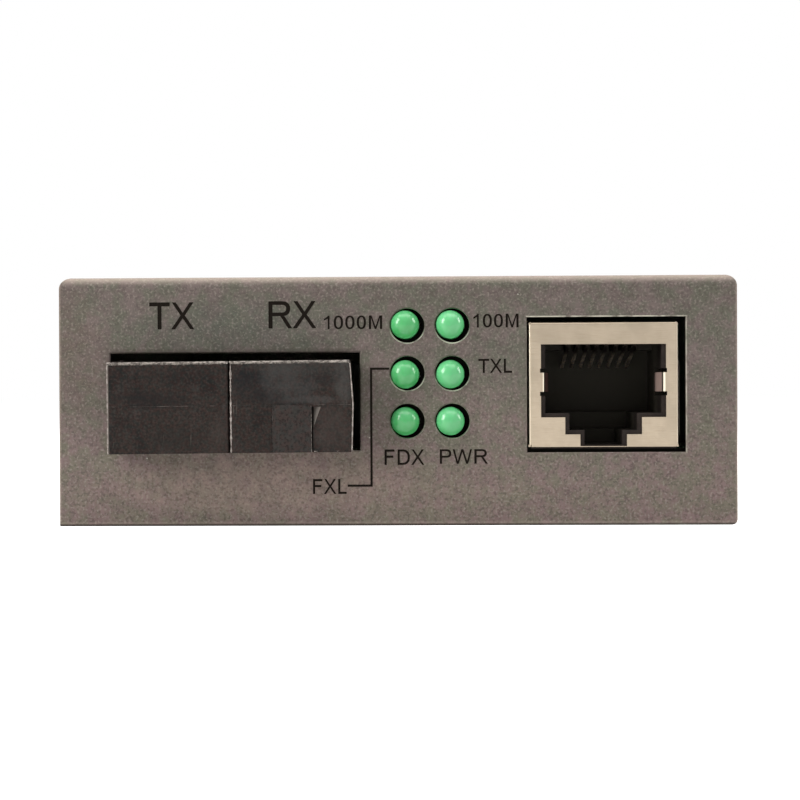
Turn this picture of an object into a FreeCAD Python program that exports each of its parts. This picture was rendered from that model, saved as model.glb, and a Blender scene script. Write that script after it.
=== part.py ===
import FreeCAD, Part
import math
import os

# Stand-alone fibre media converter, in millimetres.
# The origin is the centre of the case's underside. +Z is up, the port panel faces -Y, +X is to its right.

V = FreeCAD.Vector

# case, folded from painted steel sheet
case_width = 71.0
case_depth = 94.0
case_height = 26.15
sheet = 0.8
bend_radius = 1.2
seam = 0.12
tray_gap = 0.1
tray_wall_height = 7.2
edge_break = 0.12
worn_corner = 0.6

# circuit board, which sits a little left of centre in the case
board_dx = -0.25
board_top = 8.0
board_thickness = 1.6
board_width = 65.8
board_front = -44.8
board_back = 45.0
standoff_x = 29.5
standoff_y = (-3.5, 40.5)

# shielded network jack
jack_x = 21.85 + board_dx
jack_face = -46.9
jack_depth = 18.0
shield_width = 15.65
shield_top = 21.25
shield_sheet = 0.25
shield_mouth = [(6.52, 11.27, 18.91), (4.0, 9.48, 11.27), (2.43, 8.25, 9.48)]
mouth_rim = 0.44
tongue_rim = 0.12
contact_pitch = 1.016
contact_count = 8
contact_width = 0.32

# duplex optical transceiver and its two square ports
module_x = -17.05 + board_dx
module_width = 25.0
module_height = 9.3
module_length = 39.6
module_nose = -47.8
port_pitch = 12.7
port_axis = 12.55
port_width = 9.0
port_height = 7.4
port_floor = -33.5
key_width = 2.4

# dust plugs
plug_width = 12.6
plug_low = 7.75
plug_high = 17.25
plug_lip = 2.2
plug_tip = -35.0
plug_lean = 0.4
plug_crest = 0.15

# indicator lamps, two columns of three
lamp_radius = 1.5
lamp_hole_radius = 1.8
lamp_hole_x = (1.11, 5.82)
lamp_hole_z = (20.95, 15.95, 10.95)
lamp_x = (0.86, 5.6)
lamp_z = (21.05, 15.84, 10.92)
lamp_tip = -48.0
lamp_body = 5.2
lamp_names = [
    ["gigabit_lamp", "fast_rate_lamp"],
    ["fibre_link_lamp", "copper_link_lamp"],
    ["full_duplex_lamp", "power_lamp"],
]
lamp_lead_offset = 1.27
lamp_bend_y = (-34.6, -35.9, -37.2)
lamp_holder_depth = 4.0

# power socket on the rear panel
power_x = 18.0 + board_dx
power_axis = board_top + 6.5
power_bore_radius = 3.2
power_pin_radius = 1.0
power_length = 14.0

half_width = case_width / 2
half_depth = case_depth / 2


# A box between two opposite corners.
def block(x0, x1, y0, y1, z0, z1):
    return Part.makeBox(x1 - x0, y1 - y0, z1 - z0, V(x0, y0, z0))


# A box centred on a point in X and Y, standing on a height.
def pad(x, y, z, dx, dy, dz):
    return block(x - dx / 2, x + dx / 2, y - dy / 2, y + dy / 2, z, z + dz)


def post(radius, x, y, z0, z1):
    return Part.makeCylinder(radius, z1 - z0, V(x, y, z0), V(0, 0, 1))


# A round bar lying front to back.
def bar(radius, x, z, y0, y1):
    return Part.makeCylinder(radius, y1 - y0, V(x, y0, z), V(0, 1, 0))


# A closed outline in the X-Z plane, drawn out from y0 to y1.
def prism(points, y0, y1):
    ring = [V(x, y0, z) for x, z in points]
    return Part.Face(Part.makePolygon(ring + ring[:1])).extrude(V(0, y1 - y0, 0))


# Offsets a path sideways with mitred corners, for strips of constant thickness.
def offset_path(path, shift):
    result = []
    for i, (a, b) in enumerate(path):
        normals = []
        for j, k in ((i - 1, i), (i, i + 1)):
            if j < 0 or k >= len(path):
                continue
            du, dv = path[k][0] - path[j][0], path[k][1] - path[j][1]
            length = math.hypot(du, dv)
            normals.append((-dv / length, du / length))
        nu = sum(n[0] for n in normals) / len(normals)
        nv = sum(n[1] for n in normals) / len(normals)
        size = nu * nu + nv * nv
        result.append((a + shift * nu / size, b + shift * nv / size))
    return result


# A sheet strip of even width whose path lies in the Y-Z plane.
def strip(path, thickness, x, width):
    outline = offset_path(path, thickness / 2) + offset_path(path, -thickness / 2)[::-1]
    ring = [V(x - width / 2, a, b) for a, b in outline]
    return Part.Face(Part.makePolygon(ring + ring[:1])).extrude(V(width, 0, 0))


# Picks the edges of a shape that pass a test on their middle point.
def edges_where(shape, test):
    return [edge for edge in shape.Edges if test(edge.CenterOfMass)]


def all_fused(shapes):
    return shapes[0].multiFuse(shapes[1:]).removeSplitter() if len(shapes) > 1 else shapes[0]


def save(name, shapes):
    solids = [solid for shape in shapes for solid in shape.Solids]
    for solid in solids:
        assert solid.isValid(), name
    whole = solids[0] if len(solids) == 1 else Part.makeCompound(solids)
    whole.exportStep(f"parts/{name}.step")


# ---- case ----


vent_count = 7
vent_pitch = 8.0
vent_centre = 8.0
vent_low = 8.5
vent_high = 18.0
vent_width = 2.2
side_screw_z = 4.0
side_screw_y = (-30.0, 30.0)
screw_radius = 1.5
screw_head_radius = screw_radius + sheet


# The outer skin of a bent-sheet box, open below, with all four top edges bent.
def folded_skin(inset, radius, floor):
    top = case_height - inset
    skin = block(
        inset - half_width, half_width - inset, inset - half_depth, half_depth - inset, floor, top
    )
    return skin.makeFillet(radius, edges_where(skin, lambda p: p.z > top - 0.01))


# The conical seat of a flush screw in the side wall, wide end outwards.
def flush_cone(side, y):
    start = V(side * half_width, y, side_screw_z)
    return Part.makeCone(screw_head_radius, screw_radius, sheet, start, V(-side, 0, 0))


def jack_window():
    return block(13.61, 30.16, -half_depth - 1, sheet - half_depth + 1, 7.62, 21.77)


def module_window():
    return block(-30.09, -3.86, -half_depth - 1, sheet - half_depth + 1, 7.9, 18.15)


def power_window():
    return block(
        power_x - 4.8, power_x + 4.8, half_depth - sheet - 1, half_depth + 1, board_top - 0.2, 19.2
    )


# What is missing where the panel's lower right corner is rubbed round.
def corner_wear():
    r = worn_corner
    x, y = half_width - r, -half_depth
    corner = block(x, half_width + 1, y - 1, y + 2 * sheet, -1, r)
    return corner.cut(bar(r, x, r, y - 2, y + 3 * sheet))


def upper_cover():
    cover = folded_skin(0, bend_radius, 0)
    under = edges_where(cover, lambda p: p.z < 0.01 and abs(p.y) > half_depth - 0.01)
    cover = cover.makeChamfer(0.15, under)
    cover = cover.cut(folded_skin(sheet, bend_radius - sheet, -1))
    cuts = [jack_window(), module_window(), power_window()]
    for x in lamp_hole_x:
        for z in lamp_hole_z:
            cuts.append(bar(lamp_hole_radius, x, z, -half_depth - 1, 2 - half_depth))
    for sx in (-1, 1):
        for sy in (-1, 1):
            # the side wall butts against the back of the panel, up to where the bends meet
            x0, x1 = sorted((sx * (half_width - sheet - 0.1), sx * (half_width + 1)))
            y0, y1 = sorted((sy * (half_depth - sheet), sy * (half_depth - sheet - seam)))
            cuts.append(block(x0, x1, y0, y1, -1, case_height - bend_radius))
    for i in range(vent_count):
        y = (i - (vent_count - 1) / 2) * vent_pitch + vent_centre
        r = vent_width / 2
        cuts.append(block(-half_width - 1, half_width + 1, y - r, y + r, vent_low, vent_high))
    for side in (-1, 1):
        for y in side_screw_y:
            cuts.append(flush_cone(side, y))
    cover = cover.cut(cuts + [corner_wear()])
    punched = edges_where(
        cover, lambda p: p.y < 0.01 - half_depth and abs(p.x) < half_width - 5 and 7 < p.z < 22.5
    )
    return cover.makeChamfer(edge_break, punched)


def base_plate():
    x = half_width - sheet - tray_gap
    y = half_depth - sheet - tray_gap
    outer = block(-x, x, -y, y, 0, tray_wall_height)
    outer = outer.makeFillet(1.0, edges_where(outer, lambda p: abs(p.x) > x - 0.01 and p.z < 0.01))
    inner = block(sheet - x, x - sheet, -y - 1, y + 1, sheet, tray_wall_height + 1)
    inner = inner.makeFillet(
        0.2, edges_where(inner, lambda p: abs(p.x) > x - sheet - 0.01 and p.z < sheet + 0.01)
    )
    tray = outer.cut(inner)
    cuts = []
    for side in (-1, 1):
        for end in (-1, 1):
            # the upturned walls stop short of both panels
            x0, x1 = sorted((side * (x - 1.0), side * (x + 1)))
            y0, y1 = sorted((end * (y - 2.2), end * (y + 1)))
            cuts.append(block(x0, x1, y0, y1, 1.0, tray_wall_height + 1))
        for y_hole in side_screw_y:
            start = V(side * (x - 2), y_hole, side_screw_z)
            cuts.append(Part.makeCylinder(screw_radius, 4, start, V(side, 0, 0)))
    return tray.cut(cuts)


# Cross recess for a screw head that faces along an axis.
def cross_recess(x, y, z, facing):
    reach, slot, depth = 1.3, 0.5, 0.7
    if facing == "up":
        return [
            pad(x, y, z - depth, 2 * reach, slot, depth + 1),
            pad(x, y, z - depth, slot, 2 * reach, depth + 1),
        ]
    x0, x1 = sorted((x - facing * depth, x + facing))
    return [
        block(x0, x1, y - reach, y + reach, z - slot / 2, z + slot / 2),
        block(x0, x1, y - slot / 2, y + slot / 2, z - reach, z + reach),
    ]


def cover_screw(side, y):
    head = flush_cone(side, y)
    shank = Part.makeCylinder(
        screw_radius, 5, V(side * (half_width - 0.5), y, side_screw_z), V(-side, 0, 0)
    )
    return all_fused([head, shank]).cut(cross_recess(side * half_width, y, side_screw_z, side))


# ---- circuit board and what holds it ----


def standoff_places():
    return [(side * standoff_x + board_dx, y) for side in (-1, 1) for y in standoff_y]


def standoff(x, y):
    corner = 5.0 / math.sqrt(3)
    ring = []
    for i in range(6):
        turn = math.radians(60 * i)
        ring.append(V(x + corner * math.cos(turn), y + corner * math.sin(turn), sheet))
    height = board_top - board_thickness - sheet
    body = Part.Face(Part.makePolygon(ring + ring[:1])).extrude(V(0, 0, height))
    return body.cut(post(screw_radius, x, y, sheet + 1, board_top))


def board_screw(x, y):
    head_radius, head_height = 2.75, 1.7
    head = post(head_radius, x, y, board_top, board_top + head_height)
    shank = post(screw_radius, x, y, sheet + 2.2, board_top)
    return all_fused([head, shank]).cut(cross_recess(x, y, board_top + head_height, "up"))


def lamp_lead_places():
    places = []
    for x in lamp_x:
        for z, y in zip(lamp_z, lamp_bend_y):
            for side in (-1, 1):
                places.append((x + side * lamp_lead_offset, y, z))
    return places


contact_tail_y = -30.05
module_pin_y = module_nose + module_length - 2.2
module_pins = 9
module_pin_pitch = 2.54


def contact_places():
    return [jack_x + (i - (contact_count - 1) / 2) * contact_pitch for i in range(contact_count)]


def module_pin_places():
    return [module_x + (i - (module_pins - 1) / 2) * module_pin_pitch for i in range(module_pins)]


shield_leg_y = (-38.0, -36.6)
module_post_x = 11.2
module_post_y = -30.0
power_tail_y = 32.6
power_spring_y = 37.5
power_spring_z = 10.95


def circuit_board():
    x0 = board_dx - board_width / 2
    floor = board_top - board_thickness
    board = block(x0, x0 + board_width, board_front, board_back, floor, board_top)
    board = board.makeFillet(
        1.0,
        edges_where(
            board, lambda p: abs(p.x - board_dx) > board_width / 2 - 0.01 and abs(p.z - 7.2) < 0.01
            and (p.y < board_front + 0.01 or p.y > board_back - 0.01)
        ),
    )
    cuts = [post(1.6, x, y, 0, 20) for x, y in standoff_places()]
    cuts += [pad(x, y, 0, 0.8, 0.8, 20) for x, y, z in lamp_lead_places()]
    cuts += [pad(x, contact_tail_y, 0, 0.6, 0.7, 20) for x in contact_places()]
    cuts += [pad(x, module_pin_y, 0, 0.8, 0.8, 20) for x in module_pin_places()]
    for side in (-1, 1):
        x = jack_x + side * (shield_width - shield_sheet) / 2
        cuts.append(block(x - 0.3, x + 0.3, shield_leg_y[0] - 0.1, shield_leg_y[1] + 0.1, 0, 20))
        cuts.append(post(0.95, module_x + side * module_post_x, module_post_y, 0, 20))
    cuts.append(pad(power_x, power_tail_y, 0, 2.4, 1.0, 20))
    cuts.append(pad(power_x, power_spring_y, 0, 2.8, 0.8, 20))
    return board.cut(cuts)


# A flat chip body whose sides taper to the middle of its height.
def chip_body(x, y, size_x, size_y, height):
    low = board_top + 0.1
    draft = 0.15
    rings = []
    for shrink, z in ((draft, low), (0, low + height / 2), (draft, low + height)):
        hx, hy = size_x / 2 - shrink, size_y / 2 - shrink
        corners = [V(x - hx, y - hy, z), V(x + hx, y - hy, z), V(x + hx, y + hy, z), V(x - hx, y + hy, z)]
        rings.append(Part.makePolygon(corners + corners[:1]))
    return Part.makeLoft(rings, True, True)


# One gull-wing lead that leaves a chip towards +Y, standing on the board.
def wing_lead(x, edge_y, shoulder, width):
    t = 0.15
    foot = board_top + t / 2
    path = [
        (edge_y, shoulder), (edge_y + 0.15, shoulder), (edge_y + 0.5, foot), (edge_y + 1.1, foot)
    ]
    return strip(path, t, x, width)


# All leads of a chip with leads on two or four sides.
def chip_leads(x, y, size, per_side, pitch, sides, height):
    leads = []
    for quarter in range(0, 4, 4 // sides):
        for i in range(per_side):
            along = (i - (per_side - 1) / 2) * pitch
            lead = wing_lead(x + along, y + size / 2, board_top + 0.1 + height / 2, 0.3)
            lead.rotate(V(x, y, 0), V(0, 0, 1), 90 * quarter)
            leads.append(lead)
    return leads


def magnetics_module(x, y):
    return chip_body(x, y, 16.0, 8.0, 5.6)


def crystal_can(x, y):
    base = pad(x, y, board_top, 10.6, 4.4, 0.5)
    can = pad(x, y, board_top + 0.5, 9.6, 3.4, 3.0)
    can = can.makeFillet(1.65, edges_where(can, lambda p: abs(p.z - board_top - 2.0) < 0.01))
    return all_fused([base, can])


# An aluminium electrolytic can with its rolled groove near the foot.
def electrolytic(x, y, radius, height):
    z = board_top
    groove = 0.35
    profile = [
        (0, z), (radius, z), (radius - groove, z + 0.9), (radius, z + 1.8), (radius, z + height),
        (0, z + height),
    ]
    ring = [V(x + r, y, h) for r, h in profile]
    face = Part.Face(Part.makePolygon(ring + ring[:1]))
    return face.revolve(V(x, y, 0), V(0, 0, 1), 360)


# Shielded power inductor: a ferrite drum in a square base with trimmed corners.
def power_inductor(x, y):
    base = pad(x, y, board_top, 8.2, 8.2, 1.0)
    base = base.makeChamfer(1.4, edges_where(base, lambda p: abs(p.z - board_top - 0.5) < 0.01))
    drum = post(3.9, x, y, board_top + 1.0, board_top + 4.2)
    drum = drum.makeChamfer(0.4, edges_where(drum, lambda p: p.z > board_top + 4.19))
    return all_fused([base, drum])


def voltage_regulator(x, y):
    depth, height = 3.5, 1.6
    shoulder = board_top + 0.1 + height / 2
    legs = [wing_lead(x + i * 2.3, y + depth / 2, shoulder, 0.7) for i in (-1, 0, 1)]
    tab = wing_lead(x, y + depth / 2, shoulder, 3.0)
    tab.rotate(V(x, y, 0), V(0, 0, 1), 180)
    return [chip_body(x, y, 6.5, depth, height), tab] + legs


def surge_diode(x, y):
    body = chip_body(x, y, 4.3, 2.6, 2.1)
    ends = [pad(x + side * 2.4, y, board_top, 0.5, 1.4, 1.15) for side in (-1, 1)]
    return [body] + ends


# Ceramic capacitors and resistors in rows beside the chips that they serve.
def small_components():
    rows = [(-2.0, 15.0, 6, 2.6), (14.0, -8.5, 5, 3.0), (-27.0, 8.0, 5, 2.8), (21.0, 20.0, 4, 3.2)]
    pieces = []
    for x0, y, count, pitch in rows:
        for i in range(count):
            pieces.append(pad(x0 + i * pitch, y, board_top, 1.0, 2.0, 0.7))
    return pieces


# ---- network jack ----


# The stepped mouth, narrowed by a rim on both sides and below.
def mouth(rim, y0, depths, roof):
    cuts = []
    for (half, low, high), depth in zip(shield_mouth, depths):
        top = roof if high == shield_mouth[0][2] else high + rim
        sill = low + (min(rim, tongue_rim) if low == shield_mouth[-1][1] else rim)
        cuts.append(block(jack_x - half + rim, jack_x + half - rim, y0, y0 + depth, sill, top))
    return cuts


finger_low = 13.95
finger_high = 15.95
finger_gap = 0.43
cavity_roof = 18.47
slot_roof = 20.1


def jack_housing():
    half = shield_width / 2 - shield_sheet - 0.02
    front = jack_face + shield_sheet
    back = jack_face + jack_depth - shield_sheet
    body = block(jack_x - half, jack_x + half, front, back, board_top, shield_top - shield_sheet)
    cuts = mouth(mouth_rim, front - 1, (13.1, 11.5, 9.5), cavity_roof)
    for x in contact_places():
        cuts.append(block(x - 0.28, x + 0.28, front + 0.6, -34.5, cavity_roof - 0.5, slot_roof))
        cuts.append(block(x - 0.28, x + 0.28, -35, -33, 19.3, slot_roof))
    # the pocket behind the cavity takes the contact carrier
    cuts.append(block(jack_x - 5.2, jack_x + 5.2, -33.4, back + 1, board_top - 1, slot_roof))
    for side in (-1, 1):
        x0, x1 = sorted((jack_x + side * 5.5, jack_x + side * 7.0))
        z0, z1 = finger_low - finger_gap, finger_high + finger_gap
        cuts.append(block(x0, x1, front - 1, -40.0, z0, z1))
    # the roof of the mouth starts behind the shield's edge
    reach = shield_mouth[0][0] - mouth_rim
    cuts.append(block(jack_x - reach, jack_x + reach, front - 1, front + 8.0, cavity_roof - 0.1, 19.0))
    return body.cut(cuts)


def jack_contact_carrier():
    body = block(jack_x - 5.2, jack_x + 5.2, -33.4, -29.4, board_top, 19.5)
    grooves = [
        block(x - 0.2, x + 0.2, contact_tail_y - 0.15, -29, board_top - 1, 20)
        for x in contact_places()
    ]
    return body.cut(grooves)


# A round wire contact: up from the board, forward over the carrier, and folded back into the cavity.
def jack_contact(x):
    path = [
        (contact_tail_y, 5.2), (contact_tail_y, 19.65), (-44.9, 19.65), (-45.35, 19.25),
        (-44.95, 18.85), (-35.8, 16.72),
    ]
    return strip(path, 0.3, x, contact_width)


# One grounding finger, folded in from the edge of the mouth.
def shield_finger(side):
    t = shield_sheet
    edge = shield_mouth[0][0]
    path = [
        (edge + t / 2, jack_face + t / 2), (edge - 0.2, jack_face + t / 2),
        (edge - 0.73, jack_face + 1.8), (edge - 0.3, -40.6),
    ]
    outline = offset_path(path, t / 2) + offset_path(path, -t / 2)[::-1]
    ring = [V(jack_x + side * a, b, finger_low) for a, b in outline]
    return Part.Face(Part.makePolygon(ring + ring[:1])).extrude(V(0, 0, finger_high - finger_low))


def jack_shield():
    half = shield_width / 2
    back = jack_face + jack_depth
    low = board_top + 0.18
    box = block(jack_x - half, jack_x + half, jack_face, back, low, shield_top)
    bends = edges_where(
        box,
        lambda p: (p.z > shield_top - 0.01 and abs(p.y - back) > 0.01)
        or (abs(abs(p.x - jack_x) - half) < 0.01 and p.y < jack_face + 0.01),
    )
    box = box.makeFillet(0.3, bends)
    t = shield_sheet
    hollow = block(
        jack_x - half + t, jack_x + half - t, jack_face + t, back - t, low - 1, shield_top - t
    )
    shell = box.cut(hollow)
    cuts = mouth(0, jack_face - 1, (1 + t, 1 + t, 1 + t), shield_mouth[0][2])
    for side in (-1, 1):
        for z in (low, shield_top):
            cuts.append(pad(jack_x + side * half, jack_face, z - 0.25, 0.6, 0.6, 0.5))
        # short slits above and below each finger
        x0, x1 = sorted((jack_x + side * 6.4, jack_x + side * 6.62))
        for z in (finger_low - finger_gap, finger_high):
            cuts.append(block(x0, x1, jack_face - 1, jack_face + t + 0.01, z, z + finger_gap))
    shell = shell.cut(cuts)
    legs = []
    for side in (-1, 1):
        x = jack_x + side * (half - t / 2)
        legs.append(block(x - t / 2, x + t / 2, shield_leg_y[0], shield_leg_y[1], 5.4, low + 1))
    return all_fused([shell] + legs + [shield_finger(side) for side in (-1, 1)])


# ---- optical transceiver ----


def port_places():
    return [module_x - port_pitch / 2, module_x + port_pitch / 2]


def transceiver_housing():
    half = module_width / 2
    back = module_nose + module_length
    top = board_top + module_height
    body = block(module_x - half, module_x + half, module_nose, back, board_top, top)
    body = body.makeFillet(0.5, edges_where(body, lambda p: p.y > back - 0.01))
    cuts = []
    for side in (-1, 1):
        # the rear body is a little narrower than the nose
        x0, x1 = sorted((module_x + side * (half - 0.3), module_x + side * (half + 1)))
        cuts.append(block(x0, x1, -36.0, back + 1, board_top - 1, top + 1))
    for x in port_places():
        port = block(
            x - port_width / 2, x + port_width / 2, module_nose - 1, port_floor,
            port_axis - port_height / 2, port_axis + port_height / 2,
        )
        middle = (module_nose - 1 + port_floor) / 2
        port = port.makeFillet(0.4, edges_where(port, lambda p: abs(p.y - middle) < 0.01))
        cuts.append(port)
        # keyway in the roof, and side recesses for the latch arms
        cuts.append(block(x - key_width / 2, x + key_width / 2, module_nose - 1, -36, port_axis, 16.95))
        cuts.append(block(x - 5.4, x + 5.4, -46.0, port_floor, port_axis - 1.6, port_axis + 1.6))
    cuts.append(block(module_x - 11.4, module_x + 11.4, -30.0, back - 1.4, top - 0.8, top + 1))
    cuts.append(block(module_x - 3.0, module_x + 3.0, -26.0, back - 6.0, top - 2.6, top))
    return body.cut(cuts)


def transceiver_lid():
    top = board_top + module_height
    back = module_nose + module_length
    lid = block(module_x - 11.4, module_x + 11.4, -30.0, back - 1.4, top - 0.8, top)
    grips = [pad(module_x + 5.4 * side, -20, top - 0.35, 1.0, 12, 1) for side in (-1, 1)]
    return lid.cut(grips)


# Spring clip with two hooked arms that grip a connector in its port.
def latch_clip(x):
    web = block(x - 4.4, x + 4.4, port_floor - 0.6, port_floor, port_axis - 3.4, port_axis + 3.4)
    web = web.cut(bar(2.5, x, port_axis, port_floor - 2, port_floor + 1))
    ring = [
        (4.0, port_floor), (5.25, port_floor), (5.25, -45.6), (4.7, -45.6), (4.1, -44.9),
        (4.1, -44.5), (4.75, -44.5), (4.75, port_floor - 0.6), (4.0, port_floor - 0.6),
    ]
    arms = []
    for side in (-1, 1):
        corners = [V(x + side * a, b, port_axis - 1.5) for a, b in ring]
        arms.append(Part.Face(Part.makePolygon(corners + corners[:1])).extrude(V(0, 0, 3.0)))
    return all_fused([web] + arms)


receptacle_tip = -43.0
sleeve_radius = 1.6


# Barrel that guides the fibre's ferrule.
def receptacle(x):
    barrel = bar(2.4, x, port_axis, receptacle_tip, port_floor)
    return barrel.cut(bar(sleeve_radius, x, port_axis, receptacle_tip - 1, port_floor + 1))


def ferrule_sleeve(x):
    start = receptacle_tip + 0.4
    tube = bar(sleeve_radius, x, port_axis, start, port_floor)
    tube = tube.cut(bar(1.25, x, port_axis, start - 1, port_floor + 1))
    split = block(x - 0.15, x + 0.15, start - 1, port_floor + 1, port_axis, port_axis + 3)
    return tube.cut(split)


def transceiver_pins():
    pins = []
    for x in module_pin_places():
        pins.append(pad(x, module_pin_y, 4.8, 0.46, 0.46, board_top - 4.8))
    for side in (-1, 1):
        pins.append(post(0.95, module_x + side * module_post_x, module_post_y, 5.6, board_top))
    return pins


# ---- dust plugs ----


# Turns a shape about the middle of the nose, as the plugs' loose fit lets them lean.
def leaned(shape):
    shape.rotate(V(module_x, 0, port_axis), V(0, 1, 0), -plug_lean)
    return shape


# The face of a plug: a block with a slight crest along its mould line, and worn front edges.
def plug_face(x, crest):
    half = plug_width / 2
    low, high = plug_low, plug_high
    ring = [(x - half, low), (x + half, low), (x + half - crest, high), (x - half, high)]
    if crest:
        ring.insert(2, (x + half + crest, port_axis + 0.1))
    front = module_nose - plug_lip
    face = prism(ring, front, module_nose)
    tops = edges_where(face, lambda p: p.y < front + 0.01 and p.z > high - 0.01)
    face = face.makeChamfer(0.3, tops)
    lefts = edges_where(face, lambda p: p.y < front + 0.05 and p.x < x - half + 0.01)
    face = face.makeChamfer(0.22, lefts)
    rights = edges_where(face, lambda p: p.y < front + 0.05 and p.x > x + half - 0.03)
    return face.makeChamfer(0.1, rights)


# The hollow shank that fills the port, with its key and the grooves that pass the latch arms.
def plug_shank(x):
    half_x, half_z = 4.3, 3.5
    body = block(x - half_x, x + half_x, module_nose, plug_tip, port_axis - half_z, port_axis + half_z)
    body = body.makeChamfer(0.5, edges_where(body, lambda p: p.y > plug_tip - 0.01))
    key = block(x - 1.0, x + 1.0, module_nose, -38.0, port_axis + half_z - 0.5, port_axis + 4.25)
    cuts = [bar(2.7, x, port_axis, module_nose + 0.8, plug_tip + 1)]
    for side in (-1, 1):
        x0, x1 = sorted((x + side * 3.95, x + side * 5))
        cuts.append(block(x0, x1, module_nose, plug_tip + 1, port_axis - 1.8, port_axis + 1.8))
    return all_fused([body, key]).cut(cuts)


def plain_plug(x):
    return leaned(all_fused([plug_face(x, 0), plug_shank(x)]))


# The second plug's face has a raised pull tab below its mould line, with a slit beside it.
def tabbed_plug(x):
    front = module_nose - plug_lip
    left = x - plug_width / 2
    low = plug_low
    tab_start, tab_end, slit_end, nick_end = 4.55, 8.46, 8.68, 9.5
    mid = port_axis + 0.1
    tab = block(left + tab_start, left + tab_end, front - 0.15, front + 0.2, low, mid)
    slit = block(left + tab_end, left + slit_end, front - 1, front + 0.7, low - 1, mid - 0.2)
    wedge_ring = [
        V(left + slit_end, front - 0.01, mid - 0.2), V(left + nick_end, front - 0.01, mid - 0.2),
        V(left + slit_end, front - 0.01, mid - 2.5),
    ]
    nick = Part.makeLoft(
        [
            Part.makePolygon(wedge_ring + wedge_ring[:1]),
            Part.makePolygon([
                V(left + slit_end, front + 0.3, mid - 0.2), V(left + slit_end + 0.05, front + 0.3, mid - 0.2),
                V(left + slit_end, front + 0.3, mid - 0.3), V(left + slit_end, front + 0.3, mid - 0.2),
            ]),
        ],
        True, True,
    )
    body = all_fused([plug_face(x, plug_crest), plug_shank(x), tab]).cut([slit, nick])
    return leaned(body)


# ---- indicator lamps ----


def lamp(x, z):
    r = lamp_radius
    back = lamp_tip + lamp_body
    dome_centre = lamp_tip + r
    arc_point = (r * math.sin(math.pi / 4), dome_centre - r * math.cos(math.pi / 4))

    def at(radius, y):
        return V(x + radius, y, z)

    edges = [
        Part.Arc(at(0, lamp_tip), at(*arc_point), at(r, dome_centre)).toShape(),
        Part.makeLine(at(r, dome_centre), at(r, back)),
        Part.makeLine(at(r, back), at(0, back)),
        Part.makeLine(at(0, back), at(0, lamp_tip)),
    ]
    return Part.Face(Part.Wire(edges)).revolve(V(x, 0, z), V(0, 1, 0), 360)


def lamp_holder():
    front = lamp_tip + lamp_body
    back = front + lamp_holder_depth
    body = block(lamp_x[0] - 2.5, lamp_x[1] + 2.5, front, back, board_top, lamp_z[0] + 2.4)
    body = body.makeFillet(0.5, edges_where(body, lambda p: p.z > lamp_z[0] + 2.39))
    cuts = [
        block(x - 0.35, x + 0.35, front - 1, back + 1, z - 0.35, z + 0.35)
        for x, y, z in lamp_lead_places()
    ]
    return body.cut(cuts)


def lamp_leads():
    start = lamp_tip + lamp_body
    return [strip([(start, z), (y, z), (y, 5.6)], 0.5, x, 0.5) for x, y, z in lamp_lead_places()]


# ---- power socket ----


def power_jack_housing():
    back = half_depth
    front = back - power_length
    shoulder = back - 3.4
    plate = block(power_x - 4.5, power_x + 4.5, shoulder, back, board_top, board_top + 11)
    plate = plate.makeFillet(
        0.8, edges_where(plate, lambda p: p.z > board_top + 10.9 and abs(p.x - power_x) > 4.4)
    )
    foot = block(power_x - 4.3, power_x + 4.3, front, shoulder, board_top, power_axis)
    drum = bar(4.3, power_x, power_axis, front, shoulder)
    cuts = [
        bar(power_bore_radius, power_x, power_axis, front + 3, back + 1),
        bar(1.3, power_x, power_axis, front - 1, front + 4),
        block(power_x - 1.4, power_x + 1.4, power_spring_y - 0.15, 43.4, power_spring_z - 0.15, 12.0),
        pad(power_x, power_spring_y, board_top - 1, 2.8, 0.3, 4),
    ]
    return all_fused([plate, foot, drum]).cut(cuts)


def power_jack_pin():
    front = half_depth - power_length
    tip = half_depth - 1.1
    pin = bar(power_pin_radius, power_x, power_axis, front + 3, tip)
    pin = pin.makeChamfer(0.4, edges_where(pin, lambda p: p.y > tip - 0.01))
    root = bar(1.3, power_x, power_axis, front, front + 3)
    tail = block(power_x - 1, power_x + 1, front - 0.8, front, 5.4, power_axis + 1.3)
    return all_fused([pin, root, tail])


def power_jack_spring():
    path = [
        (43.0, power_spring_z), (40.6, power_spring_z + 0.65), (power_spring_y, power_spring_z),
        (power_spring_y, 5.4),
    ]
    return strip(path, 0.3, power_x, 2.4)


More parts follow.
